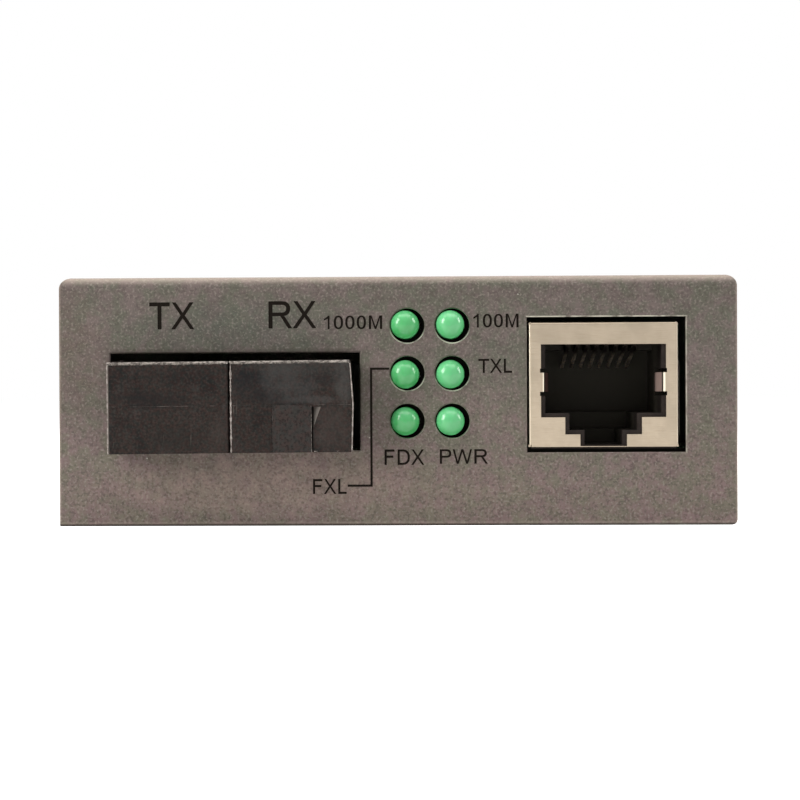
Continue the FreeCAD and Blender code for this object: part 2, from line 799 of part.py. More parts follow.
def main():
    os.makedirs("parts", exist_ok=True)

    save("upper_cover", [upper_cover()])
    save("base_plate", [base_plate()])
    save("cover_screws", [cover_screw(side, y) for side in (-1, 1) for y in side_screw_y])
    save("board_standoffs", [standoff(x, y) for x, y in standoff_places()])
    save("board_screws", [board_screw(x, y) for x, y in standoff_places()])
    save("circuit_board", [circuit_board()])

    save("converter_chip", [chip_body(8.0, 3.0, 14.0, 14.0, 1.4)])
    save("converter_chip_leads", chip_leads(8.0, 3.0, 14.0, 8, 1.5, 4, 1.4))
    save("memory_chip", [chip_body(8.0, 22.0, 5.0, 4.0, 1.4)])
    save("memory_chip_leads", chip_leads(8.0, 22.0, 4.0, 4, 1.27, 2, 1.4))
    save("magnetics_module", [magnetics_module(jack_x, -20.0)])
    save("magnetics_module_leads", chip_leads(jack_x, -20.0, 8.0, 6, 2.5, 2, 5.6))
    save("crystal_can", [crystal_can(-7.0, 5.0)])
    save("storage_capacitors", [electrolytic(-20.0, 32.0, 4.0, 9.4), electrolytic(-20.0, 20.0, 3.15, 8.6)])
    save("power_inductor", [power_inductor(-6.0, 34.0)])
    save("voltage_regulator", voltage_regulator(5.0, 34.0))
    save("surge_diode", surge_diode(5.0, 41.0))
    save("small_components", small_components())

    save("jack_housing", [jack_housing()])
    save("jack_contact_carrier", [jack_contact_carrier()])
    save("jack_contacts", [jack_contact(x) for x in contact_places()])
    save("jack_shield", [jack_shield()])

    save("transceiver_housing", [transceiver_housing()])
    save("transceiver_lid", [transceiver_lid()])
    save("transceiver_pins", transceiver_pins())
    for name, x in zip(("transmit", "receive"), port_places()):
        save(f"{name}_latch_clip", [latch_clip(x)])
        save(f"{name}_receptacle", [receptacle(x)])
        save(f"{name}_ferrule_sleeve", [ferrule_sleeve(x)])
    transmit_x, receive_x = port_places()
    save("transmit_dust_plug", [plain_plug(transmit_x)])
    save("receive_dust_plug", [tabbed_plug(receive_x)])

    for names, z in zip(lamp_names, lamp_z):
        for name, x in zip(names, lamp_x):
            save(name, [lamp(x, z)])
    save("lamp_holder", [lamp_holder()])
    save("lamp_leads", lamp_leads())

    save("power_jack_housing", [power_jack_housing()])
    save("power_jack_pin", [power_jack_pin()])
    save("power_jack_spring", [power_jack_spring()])


main()
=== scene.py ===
import math
import random

import bmesh
import bpy
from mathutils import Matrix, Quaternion, Vector


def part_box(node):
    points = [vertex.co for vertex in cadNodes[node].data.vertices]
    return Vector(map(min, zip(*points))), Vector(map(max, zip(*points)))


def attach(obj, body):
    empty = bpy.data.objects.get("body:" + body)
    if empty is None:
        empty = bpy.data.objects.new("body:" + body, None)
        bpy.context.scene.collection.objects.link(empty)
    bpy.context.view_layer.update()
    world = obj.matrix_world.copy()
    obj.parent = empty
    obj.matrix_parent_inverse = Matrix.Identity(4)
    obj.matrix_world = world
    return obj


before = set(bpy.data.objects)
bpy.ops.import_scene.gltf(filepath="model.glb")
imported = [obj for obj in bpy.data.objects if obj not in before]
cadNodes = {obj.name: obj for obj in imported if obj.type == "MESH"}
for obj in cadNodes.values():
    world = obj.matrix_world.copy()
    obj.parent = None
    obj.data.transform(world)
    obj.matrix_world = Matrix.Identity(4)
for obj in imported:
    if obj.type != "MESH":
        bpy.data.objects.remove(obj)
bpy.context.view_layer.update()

# A fibre media converter: painted steel case, duplex optical port with two dust plugs,
# shielded network jack and six indicator lamps.
# Sizes here are in millimetres, and mm turns them to metres.
mm = 0.001
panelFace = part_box("upper_cover")[0].y / mm
scene = bpy.context.scene
print("frame loaded:", len(cadNodes), "nodes")


def addMesh(name, points, faces, smooth=False):
    mesh = bpy.data.meshes.new(name)
    mesh.from_pydata([tuple(p) for p in points], [], faces)
    mesh.validate()
    if smooth:
        mesh.shade_smooth()
    piece = bpy.data.objects.new(name, mesh)
    scene.collection.objects.link(piece)
    return piece


# Puts a finish, a body and a material slot on a piece of the scene.
def dress(piece, material, body):
    piece.data.materials.clear()
    piece.data.materials.append(material)
    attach(piece, body)


# A colour written as red, green and blue out of 255.
def tone(red, green, blue):
    def linear(value):
        c = value / 255
        return c / 12.92 if c <= 0.04045 else ((c + 0.055) / 1.055) ** 2.4

    return (linear(red), linear(green), linear(blue), 1.0)


def maths(tree, operation, first, second=0.0, third=0.0):
    node = tree.nodes.new("ShaderNodeMath")
    node.operation = operation
    for socket, value in zip(node.inputs, (first, second, third)):
        if isinstance(value, (int, float)):
            socket.default_value = value
        else:
            tree.links.new(value, socket)
    return node.outputs[0]


# The product of several values or masks.
def product(tree, first, *others):
    for other in others:
        first = maths(tree, "MULTIPLY", first, other)
    return first


# How far a value lies from a middle, on either side of it.
def awayFrom(tree, value, middle=0.0):
    return maths(tree, "ABSOLUTE", maths(tree, "SUBTRACT", value, middle))


# Position in the frame, in millimetres, times a factor on each axis and shifted.
def place(tree, stretch=(1, 1, 1), shift=(0, 0, 0)):
    coordinate = tree.nodes.new("ShaderNodeTexCoord")
    mapping = tree.nodes.new("ShaderNodeMapping")
    mapping.inputs["Scale"].default_value = tuple(s / mm for s in stretch)
    mapping.inputs["Location"].default_value = shift
    tree.links.new(coordinate.outputs["Object"], mapping.inputs["Vector"])
    return mapping.outputs[0]


# Noise with grains of the given size in millimetres.
def noise(tree, size, detail=2.0, rough=0.5, stretch=(1, 1, 1), shift=(0, 0, 0)):
    node = tree.nodes.new("ShaderNodeTexNoise")
    node.inputs["Scale"].default_value = 1 / size
    node.inputs["Detail"].default_value = detail
    node.inputs["Roughness"].default_value = rough
    tree.links.new(place(tree, stretch, shift), node.inputs["Vector"])
    return node.outputs["Fac"]


# Turns a value that runs from one number to another into 0 to 1.
def fade(tree, value, start, end):
    node = tree.nodes.new("ShaderNodeMapRange")
    node.interpolation_type = "SMOOTHSTEP"
    node.inputs["From Min"].default_value = start
    node.inputs["From Max"].default_value = end
    tree.links.new(value, node.inputs["Value"])
    return node.outputs["Result"]


# 1 within a band of values, rising from start to full and falling from ebb to end.
def band(tree, value, start, full, ebb, end):
    return product(tree, fade(tree, value, start, full), fade(tree, value, end, ebb))


# Scattered dots: 1 in the middle of a dot, 0 outside. Only a share of the cells has one.
def dots(tree, cell, radius, share):
    node = tree.nodes.new("ShaderNodeTexVoronoi")
    node.inputs["Scale"].default_value = 1 / cell
    tree.links.new(place(tree), node.inputs["Vector"])
    split = tree.nodes.new("ShaderNodeSeparateColor")
    tree.links.new(node.outputs["Color"], split.inputs[0])
    near = fade(tree, node.outputs["Distance"], radius / cell, radius / cell * 0.4)
    chosen = maths(tree, "GREATER_THAN", split.outputs[0], 1 - share)
    return product(tree, near, chosen)


# Mixes two colours, each a socket or red, green and blue out of 255.
def mixColours(tree, amount, first, second):
    node = tree.nodes.new("ShaderNodeMix")
    node.data_type = "RGBA"
    if isinstance(amount, (int, float)):
        node.inputs["Factor"].default_value = amount
    else:
        tree.links.new(amount, node.inputs["Factor"])
    for socket, value in ((node.inputs[6], first), (node.inputs[7], second)):
        if isinstance(value, tuple):
            socket.default_value = tone(*value)
        else:
            tree.links.new(value, socket)
    return node.outputs[2]


# Lays one colour over another, by the product of the masks and strengths that follow it.
def layOver(tree, under, over, *amounts):
    return mixColours(tree, product(tree, *amounts), under, over)


# Turns a height pattern into relief of a given depth in millimetres, over any relief under it.
def relief(tree, height, depth, strength=1.0, under=None):
    node = tree.nodes.new("ShaderNodeBump")
    node.inputs["Strength"].default_value = strength
    node.inputs["Distance"].default_value = depth * mm
    tree.links.new(height, node.inputs["Height"])
    if under is not None:
        tree.links.new(under, node.inputs["Normal"])
    return node.outputs[0]


# The direction that a surface faces, split in three.
def facing(tree):
    geometry = tree.nodes.new("ShaderNodeNewGeometry")
    split = tree.nodes.new("ShaderNodeSeparateXYZ")
    tree.links.new(geometry.outputs["Normal"], split.inputs[0])
    return split.outputs


# Position in millimetres, split in three.
def spot(tree):
    split = tree.nodes.new("ShaderNodeSeparateXYZ")
    tree.links.new(place(tree), split.inputs[0])
    return split.outputs


# Depths behind the port panel's face, as places along y.
def behindPanel(depths):
    return [panelFace + depth for depth in depths]


# A soft, ragged oval on the front of the case or plugs: 1 in its middle, 0 outside its reach.
def patch(tree, x, z, middle, reach):
    across = maths(tree, "DIVIDE", maths(tree, "SUBTRACT", x, middle[0]), reach[0])
    along = maths(tree, "DIVIDE", maths(tree, "SUBTRACT", z, middle[1]), reach[1])
    far = maths(tree, "ADD", product(tree, across, across), product(tree, along, along))
    cloud = noise(tree, 1.3, 4, 0.65, shift=(middle[0], 0, middle[1]))
    ragged = maths(tree, "MULTIPLY_ADD", cloud, 2.2, far)
    return product(tree, fade(tree, ragged, 2.1, 0.6), fade(tree, far, 1.3, 0.5))


# Lays a list of such patches over a colour.
def layPatches(tree, colour, x, z, patches, *amounts):
    for spread in patches:
        shape = patch(tree, x, z, spread["at"], spread["reach"])
        colour = layOver(tree, colour, spread["tone"], shape, spread["strength"], *amounts)
    return colour


def newFinish(name, constants):
    material = bpy.data.materials.new(name)
    material.use_nodes = True
    tree = material.node_tree
    tree.nodes.clear()
    out = tree.nodes.new("ShaderNodeOutputMaterial")
    shader = tree.nodes.new("ShaderNodeBsdfPrincipled")
    tree.links.new(shader.outputs[0], out.inputs["Surface"])
    for socket, value in constants.items():
        shader.inputs[socket].default_value = value
    return material, tree, shader


def connect(tree, shader, colour=None, roughness=None, normal=None):
    for socket, source in (("Base Color", colour), ("Roughness", roughness), ("Normal", normal)):
        if source is not None:
            tree.links.new(source, shader.inputs[socket])


powderCoat = {
    "green": (93, 95, 83),  # the coat drifts between a greenish and a reddish grey
    "rose": (112, 98, 97),
    "patchSize": 1.6,
    "middle": (103, 96, 88),
    "middleShare": 0.28,
    "lowGreen": (127, 118, 104),  # painted light from below: warmer and paler towards the foot of the case
    "lowRose": (137, 113, 113),
    "low": (27.0, 9.0),  # heights over which those tones come in
    "lowWander": 14.0,
    "lowShare": 0.46,
    "high": (20.5, 25.0),  # painted shade: a little darker towards the top
    "highShare": 0.12,
    "dark": (64, 58, 53),
    "bright": (152, 145, 135),
    "cloudSize": 1.4,
    "cloudShare": 0.22,
    "grain": 0.26,
    "grainHeight": 0.018,
    "grainShare": 0.36,
    "lowGrainMore": 0.09,  # the grain shows more on the paler foot
    "speck": (222, 216, 206),
    "specks": (2.6, 0.1, 0.14),  # cell, radius and share of the cells
    "speckShare": 0.6,
    # painted shade above the plugs, a darker patch right of the lamps, painted light below the plugs, a
    # darker patch at the left edge, and painted light along the foot
    "shadeAndLightPatches": [
        {"at": (-17.0, 20.6), "reach": (15.0, 4.0), "tone": (76, 80, 72), "strength": 0.8},
        {"at": (10.0, 16.5), "reach": (4.5, 5.5), "tone": (84, 88, 78), "strength": 0.35},
        {"at": (-13.5, 4.8), "reach": (20.0, 4.6), "tone": (148, 129, 121), "strength": 0.75},
        {"at": (-35.0, 18.0), "reach": (6.0, 10.0), "tone": (94, 80, 72), "strength": 0.55},
        {"at": (-9.0, 3.6), "reach": (34.0, 4.0), "tone": (138, 121, 112), "strength": 0.3},
    ],
}


# Painted light and shade, and wear, on the port panel alone, with depths that run back from its face.
# A pair says where a mark begins and is full, and a four adds where it is last full and ends.
panelLightAndWear = {
    "reach": (1.4, 0.8),
    "shadeAbovePlugs": {  # painted shade: a darker band over the optical window, where the plugs shade the panel
        "height": (10.0, 12.0, 18.15, 18.8), "centre": -17.0, "halfWidth": (13.7, 12.9),
        "strength": 0.55,
    },
    "rim": {  # painted highlights, patchy like worn paint, on the lamp holes' lower edges and the top of the jack's window
        "tone": (214, 212, 196), "strength": 0.85, "sideShare": 0.35, "depth": (0.3, 0.2),
        "from": (-3.0, -2.0), "jackFrom": (10.0, 11.0), "lampsFrom": (7.0, 13.0), "top": (24.0, 23.0),
    },
    "fold": {  # painted highlights along the folds round the panel
        "tone": (228, 208, 192), "top": (25.2, 26.15), "topShare": 0.28, "sides": (35.25, 35.45),
        "sidesShare": 0.16, "foot": (0.5, 0.4), "footShare": 0.09,
    },
    # painted shade along the foot of the panel
    "footShade": {"tone": (46, 40, 36), "foot": (0.28, 0.18), "strength": 0.8},
    "wall": {  # darker walls of the holes and windows, with painted green light from the resin beside them at the lamps
        "tone": (34, 30, 26), "lampTone": (70, 172, 104), "lamps": (-2.5, -2.0, 8.5, 9.0),
        "depth": (0.13, 0.18, 0.9, 1.0), "halfWidth": (32.0, 31.0), "middle": 14.8,
        "halfHeight": (8.4, 8.0),
    },
}


# The coat's colour: drifting, clouded, grained and specked, with painted light towards the foot,
# painted shade towards the top, and painted light and shade in patches on the panel.
def layCoat(tree, setup, x, z, front):
    patches = fade(tree, noise(tree, setup["patchSize"], 4, 0.65), 0.36, 0.64)
    colour = mixColours(tree, patches, setup["green"], setup["rose"])
    colour = layOver(tree, colour, setup["middle"], setup["middleShare"])
    # Painted light from below makes the foot warmer and paler, and painted shade darkens the top.
    wander = noise(tree, 6.0, 2, 0.5, shift=(2, 2, 6))
    low = fade(tree, maths(tree, "MULTIPLY_ADD", wander, setup["lowWander"], z), *setup["low"])
    lowTone = mixColours(tree, patches, setup["lowGreen"], setup["lowRose"])
    colour = layOver(tree, colour, lowTone, low, setup["lowShare"])
    colour = layOver(tree, colour, setup["dark"], fade(tree, z, *setup["high"]), setup["highShare"])
    # Painted light and shade in patches on the panel.
    colour = layPatches(tree, colour, x, z, setup["shadeAndLightPatches"], front)
    cloud = fade(tree, noise(tree, setup["cloudSize"], 4, 0.65, shift=(6, 6, 3)), 0.38, 0.66)
    colour = layOver(tree, colour, setup["dark"], cloud, setup["cloudShare"])
    depth = maths(tree, "MULTIPLY_ADD", low, setup["lowGrainMore"], setup["grainShare"])
    pits = fade(tree, noise(tree, setup["grain"] * 1.1, 1, 0.5, shift=(3, 8, 5)), 0.46, 0.70)
    colour = layOver(tree, colour, setup["dark"], pits, depth)
    crests = fade(tree, noise(tree, setup["grain"], 1, 0.5, shift=(9, 1, 2)), 0.50, 0.74)
    colour = layOver(tree, colour, setup["bright"], crests, depth)
    return layOver(tree, colour, setup["speck"], dots(tree, *setup["specks"]), setup["speckShare"])


# Painted highlights, patchy like worn paint, on edges facing the light: the lower ones of the lamp
# holes, and the upper ones of the jack's window.
def rimHighlightsAndWear(tree, setup, x, y, z):
    faceX, faceY, faceZ = facing(tree)
    rounded = band(tree, faceY, -0.94, -0.86, -0.6, -0.4)
    shallow = fade(tree, y, *behindPanel(setup["depth"]))
    patchy = fade(tree, noise(tree, 1.4, 3, 0.6, shift=(1, 1, 9)), 0.3, 0.6)
    lower = product(tree, fade(tree, faceZ, 0.0, 0.45), fade(tree, z, *setup["lampsFrom"]))
    side = product(tree, fade(tree, faceX, -0.3, -0.5), setup["sideShare"])
    upper = maths(tree, "MAXIMUM", fade(tree, faceZ, -0.3, -0.5), side)
    atJack = fade(tree, x, *setup["jackFrom"])
    kept = maths(tree, "MULTIPLY_ADD", atJack, maths(tree, "SUBTRACT", upper, lower), lower)
    within = product(tree, fade(tree, x, *setup["from"]), fade(tree, z, *setup["top"]))
    return product(tree, rounded, shallow, patchy, kept, within)


# Painted highlights along the folds round the top, sides and foot of the panel.
def foldHighlights(tree, setup, x, z):
    worn = 0.0
    for side, where in (("top", z), ("sides", awayFrom(tree, x)), ("foot", z)):
        fold = product(tree, fade(tree, where, *setup[side]), setup[side + "Share"])
        worn = maths(tree, "MAXIMUM", worn, fold)
    return worn


# The walls of the panel's holes and windows, behind their edges.
def cutWalls(tree, setup, x, y, z):
    deep = band(tree, y, *behindPanel(setup["depth"]))
    wide = fade(tree, awayFrom(tree, x), *setup["halfWidth"])
    tall = fade(tree, awayFrom(tree, z, setup["middle"]), *setup["halfHeight"])
    return product(tree, deep, wide, tall)


def makePowderCoat(setup, wear):
    material, tree, shader = newFinish("paintedSteel", {"Specular IOR Level": 0.2})
    x, y, z = spot(tree)
    front = fade(tree, y, *behindPanel(wear["reach"]))
    colour = layCoat(tree, setup, x, z, front)
    shadeAbovePlugs, rim, fold, footShade, wall = (wear[k] for k in ("shadeAbovePlugs", "rim", "fold", "footShade", "wall"))
    # Painted shade in a band over the optical window, where the plugs shade the panel.
    tall = band(tree, z, *shadeAbovePlugs["height"])
    wide = fade(tree, awayFrom(tree, x, shadeAbovePlugs["centre"]), *shadeAbovePlugs["halfWidth"])
    colour = layOver(tree, colour, setup["dark"], tall, wide, front, shadeAbovePlugs["strength"])
    # Painted highlights, patchy like worn paint, on the edges of the lamp holes and the jack's window.
    colour = layOver(tree, colour, rim["tone"], rimHighlightsAndWear(tree, rim, x, y, z), rim["strength"])
    # Painted highlights along the folds.
    colour = layOver(tree, colour, fold["tone"], foldHighlights(tree, fold, x, z), front)
    # Painted shade along the foot of the panel.
    nearFoot = fade(tree, z, *footShade["foot"])
    colour = layOver(tree, colour, footShade["tone"], nearFoot, front, footShade["strength"])
    # Darker walls in the holes and windows, with painted green light from the resin beside them at the
    # lamps.
    wallTone = mixColours(tree, band(tree, x, *wall["lamps"]), wall["tone"], wall["lampTone"])
    colour = layOver(tree, colour, wallTone, cutWalls(tree, wall, x, y, z))
    normal = relief(tree, noise(tree, setup["grain"], 3, 0.6), setup["grainHeight"])
    roughness = maths(tree, "MULTIPLY_ADD", noise(tree, 0.5, 2), 0.18, 0.5)
    connect(tree, shader, colour, roughness, normal)
    return material


plugPlastic = {
    "middle": (40, 34, 31),
    "dark": (20, 17, 16),
    "pale": (60, 55, 53),
    "handledShare": 0.55,
    # painted light on the raised pull tab, and painted shade beside its left side
    "tab": {"left": -12.7, "right": -8.8, "top": 12.6, "rubbed": 0.75, "shade": 0.6},
    "red": (59, 38, 34),
    "cool": (30, 39, 37),
    "tintShare": 0.3,
    "mottle": {"size": 0.24, "dark": 0.65, "pale": 0.45},
    "fleck": (176, 168, 156),
    "scratchShare": 0.25,
    "flecks": (1.7, 0.07, 0.10),  # cell, radius and share of the cells
    "fleckShare": 0.6,
    "torn": (166, 159, 152),
    "tornDark": (70, 65, 62),
    "edge": (128, 121, 115),  # painted highlight on side edges that face left, on the far left and at the nick
    "edgeShare": 0.7,
    "outerSide": (-25.0, -26.0),
    "nick": (-8.55, -8.4, -7.6, -7.4),
    "nickShare": 0.75,
    "smudges": [
        {"at": (-25.2, 13.3), "reach": (5.4, 1.2), "tone": (20, 18, 19), "strength": 0.7},
        {"at": (-24.0, 15.6), "reach": (3.2, 1.0), "tone": (26, 23, 22), "strength": 0.4},
        {"at": (-22.5, 9.4), "reach": (4.0, 1.6), "tone": (26, 25, 23), "strength": 0.5},
        {"at": (-15.4, 15.1), "reach": (2.6, 1.8), "tone": (16, 19, 23), "strength": 0.75},
        {"at": (-14.0, 13.5), "reach": (3.4, 1.2), "tone": (22, 22, 24), "strength": 0.6},
        {"at": (-8.6, 13.2), "reach": (3.2, 0.6), "tone": (84, 81, 80), "strength": 0.4},
        {"at": (-11.2, 14.9), "reach": (3.9, 2.9), "tone": (66, 66, 66), "strength": 0.5},
        {"at": (-9.6, 17.0), "reach": (7.0, 1.7), "tone": (66, 65, 63), "strength": 0.5},
        {"at": (-5.4, 15.2), "reach": (1.3, 3.4), "tone": (74, 72, 70), "strength": 0.6},
        {"at": (-7.2, 15.4), "reach": (1.2, 1.0), "tone": (30, 29, 30), "strength": 0.6},
        {"at": (-6.5, 10.0), "reach": (2.6, 3.4), "tone": (66, 58, 55), "strength": 0.5},
        {"at": (-18.6, 9.5), "reach": (1.8, 3.0), "tone": (66, 58, 54), "strength": 0.4},
    ],
}


# The plug's colour: smudged, handled and finely mottled, with painted light on the pull tab and painted
# shade beside it.
def layPlug(tree, setup, smudged, x, z):
    colour = mixColours(tree, smudged, setup["middle"], setup["dark"])
    handled = fade(tree, noise(tree, 1.3, 4, 0.6, (1, 1, 0.6), (7, 2, 1)), 0.46, 0.76)
    colour = layOver(tree, colour, setup["pale"], handled, setup["handledShare"])
    tab, mottle = setup["tab"], setup["mottle"]
    left, right = tab["left"], tab["right"]
    below = fade(tree, z, tab["top"] + 0.1, tab["top"])
    # Painted light on the raised tab, and painted shade beside its left side.
    raised = band(tree, x, left - 0.05, left, right, right + 0.1)
    colour = layOver(tree, colour, setup["pale"], raised, below, tab["rubbed"])
    beside = band(tree, x, left - 0.3, left - 0.12, left - 0.06, left)
    colour = layOver(tree, colour, setup["dark"], beside, below, tab["shade"])
    tint = fade(tree, noise(tree, 0.42, 2, 0.5, shift=(8, 8, 1)), 0.4, 0.6)
    tinted = mixColours(tree, tint, setup["red"], setup["cool"])
    colour = layOver(tree, colour, tinted, setup["tintShare"])
    spots = noise(tree, mottle["size"], 2, 0.5, shift=(5, 3, 7))
    colour = layOver(tree, colour, setup["dark"], fade(tree, spots, 0.5, 0.3), mottle["dark"])
    colour = layOver(tree, colour, setup["pale"], fade(tree, spots, 0.5, 0.7), mottle["pale"])
    return layPatches(tree, colour, x, z, setup["smudges"])


# The chamfers along the top of the faces get painted highlights, torn pale and dark, and the side edges
# that face left get painted highlights on the far left and at the nick.
def layPlugEdges(tree, setup, colour, x):
    faceX, faceY, faceZ = facing(tree)
    forward = fade(tree, faceY, -0.4, -0.6)
    chips = fade(tree, noise(tree, 0.28, 4, 0.75, (0.6, 1, 1), (1, 6, 3)), 0.42, 0.58)
    torn = mixColours(tree, chips, setup["tornDark"], setup["torn"])
    # Painted highlights, torn pale and dark, on the top chamfers that face up.
    colour = layOver(tree, colour, torn, fade(tree, faceZ, 0.35, 0.6), forward)
    # Painted highlights on the side edges that face left, on the far left and at the nick.
    atNick = product(tree, band(tree, x, *setup["nick"]), setup["nickShare"])
    kept = maths(tree, "MAXIMUM", fade(tree, x, *setup["outerSide"]), atNick)
    sideways = fade(tree, faceX, -0.2, -0.4)
    return layOver(tree, colour, setup["edge"], sideways, forward, kept, setup["edgeShare"])


def makePlugPlastic(setup):
    material, tree, shader = newFinish("plugMoulding", {"Specular IOR Level": 0.1})
    x, _, z = spot(tree)
    smudged = fade(tree, noise(tree, 3.0, 3, 0.55, (1, 1, 0.8)), 0.42, 0.64)
    colour = layPlug(tree, setup, smudged, x, z)
    lines = fade(tree, noise(tree, 0.11, 1, 0.4, (1, 1, 0.022), (2, 5, 9)), 0.68, 0.80)
    patchy = fade(tree, noise(tree, 2.4, 2, 0.5, shift=(4, 4, 4)), 0.5, 0.7)
    scratches = product(tree, lines, patchy)
    colour = layOver(tree, colour, setup["fleck"], scratches, setup["scratchShare"])
    colour = layOver(tree, colour, setup["fleck"], dots(tree, *setup["flecks"]), setup["fleckShare"])
    colour = layPlugEdges(tree, setup, colour, x)
    normal = relief(tree, noise(tree, 0.35, 3, 0.6), 0.012)
    normal = relief(tree, scratches, 0.01, under=normal)
    roughness = maths(tree, "MULTIPLY_ADD", smudged, -0.12, 0.52)
    connect(tree, shader, colour, roughness, normal)
    return material


# Thin ridges along a plug's edges: pale burrs that also stand as painted highlights along the bright
# edges, dark mould flash and torn edges.
plugRidges = {
    "plugBurr": {"pale": (174, 166, 160), "grey": (122, 113, 108), "roughness": 0.6, "patch": 0.5},
    "mouldFlash": {"pale": (86, 79, 75), "grey": (34, 30, 28), "roughness": 0.6, "patch": 0.9},
    "tornEdge": {"pale": (142, 135, 128), "grey": (66, 60, 57), "roughness": 0.6, "patch": 0.3},
}


def makeRidge(name, setup):
    material, tree, shader = newFinish(name, {"Specular IOR Level": 0.2})
    worn = fade(tree, noise(tree, setup["patch"], 3, 0.65, shift=(2, 7, 7)), 0.4, 0.62)
    colour = mixColours(tree, worn, setup["grey"], setup["pale"])
    normal = relief(tree, noise(tree, 0.12, 2, 0.6), 0.01)
    roughness = maths(tree, "MULTIPLY_ADD", worn, 0.1, setup["roughness"])
    connect(tree, shader, colour, roughness, normal)
    return material


nickelPlate = {
    "bright": (173, 159, 140),
    "dull": (162, 149, 131),
    "stain": (136, 121, 102),
    "stainShare": 0.35,
    "rolledShare": 0.25,
    "roughness": 0.3,
    "mouthX": 21.6,
    "fingers": {  # the grounding fingers inside the mouth are rubbed to a satin, with painted shade on the left one and a painted highlight on the right one
        "left": (70, 52, 47), "right": (150, 130, 122), "halfWidth": (6.5, 6.3), "depth": (0.36, 0.5),
        "top": (17.5, 16.5), "rougher": 0.4,
    },
    "edge": (236, 226, 204),  # painted highlights on the rolled corners and cut edges
    "corners": ((15.3, 15.6), (27.78, 28.02)),
    "cornerHeight": (13.7, 15.9),
    "cutShare": 0.8,
    "gold": (224, 168, 84),  # a warm gleam in the middle of the lower lip
    "goldShare": 0.6,
    "lipHalfWidth": (3.0, 2.2),
}


# Painted highlights on the face of the shield: its rolled corners, its cut edges and the gleam on the
# lower lip.
def layShieldEdges(tree, setup, colour, x, y, z):
    low, high = (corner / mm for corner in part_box("jack_shield"))
    soft = 0.05
    corners = 0.0
    for start, end in setup["corners"]:
        corners = maths(tree, "ADD", corners, band(tree, x, start - soft, start, end, end + soft))
    bottom, top = setup["cornerHeight"]
    corners = product(tree, corners, band(tree, z, bottom - soft, bottom, top, top + soft))
    toLeft, toRight = maths(tree, "SUBTRACT", x, low.x), maths(tree, "SUBTRACT", high.x, x)
    toFoot = maths(tree, "SUBTRACT", z, low.z)
    toEdge = maths(tree, "MINIMUM", maths(tree, "MINIMUM", toLeft, toRight), toFoot)
    rim = product(tree, fade(tree, toEdge, 0.2, 0.12), setup["cutShare"])
    flat = fade(tree, y, low.y + 0.2, low.y + 0.15)
    colour = layOver(tree, colour, setup["edge"], maths(tree, "MAXIMUM", corners, rim), flat)
    lip = fade(tree, z, low.z + 0.25, low.z + 0.2)
    middle = fade(tree, awayFrom(tree, x, setup["mouthX"]), *setup["lipHalfWidth"])
    return layOver(tree, colour, setup["gold"], lip, middle, setup["goldShare"])


def makeNickelPlate(setup):
    material, tree, shader = newFinish("nickelShield", {"Metallic": 1.0})
    x, y, z = spot(tree)
    cloud = fade(tree, noise(tree, 2.8, 3, 0.55), 0.35, 0.65)
    colour = mixColours(tree, cloud, setup["bright"], setup["dull"])
    stain = fade(tree, noise(tree, 0.9, 4, 0.65, shift=(5, 1, 4)), 0.62, 0.8)
    colour = layOver(tree, colour, setup["stain"], stain, setup["stainShare"])
    rolled = noise(tree, 0.05, 2, 0.5, (0.03, 1, 1))
    colour = layOver(tree, colour, setup["stain"], fade(tree, rolled, 0.45, 0.7), setup["rolledShare"])
    # Painted shade on the left grounding finger and a painted highlight on the right one.
    finger, mouthX = setup["fingers"], setup["mouthX"]
    inside = fade(tree, awayFrom(tree, x, mouthX), *finger["halfWidth"])
    deep = fade(tree, y, *behindPanel(finger["depth"]))
    fingers = product(tree, inside, deep, fade(tree, z, *finger["top"]))
    rubbed = mixColours(tree, fade(tree, x, mouthX - 1, mouthX + 1), finger["left"], finger["right"])
    colour = layOver(tree, colour, rubbed, fingers)
    colour = layShieldEdges(tree, setup, colour, x, y, z)
    normal = relief(tree, rolled, 0.004, 0.6)
    roughness = maths(tree, "MULTIPLY_ADD", rolled, 0.12, setup["roughness"] - 0.06)
    roughness = maths(tree, "MULTIPLY_ADD", fingers, finger["rougher"], roughness)
    connect(tree, shader, colour, roughness, normal)
    return material


lampResin = {
    # painted light on the crown that faces up and painted shade on the foot that faces down
    "crown": (88, 180, 116),
    "side": (78, 172, 104),
    "foot": (62, 160, 88),
    "hazeShare": 0.25,
    "pale": (116, 206, 148),  # the right-hand lamps are paler
    "paleFrom": (2.6, 3.8),
    "paleShare": 0.38,
    "rim": (120, 226, 150),  # painted glow where light that has passed through the resin leaves by its sides
    "rimShare": 0.75,
    "roughness": 0.21,
    "gloss": 0.5,
    "milky": 0.35,
    "scatter": (0.0004, 0.0009, 0.0004),  # metres
}


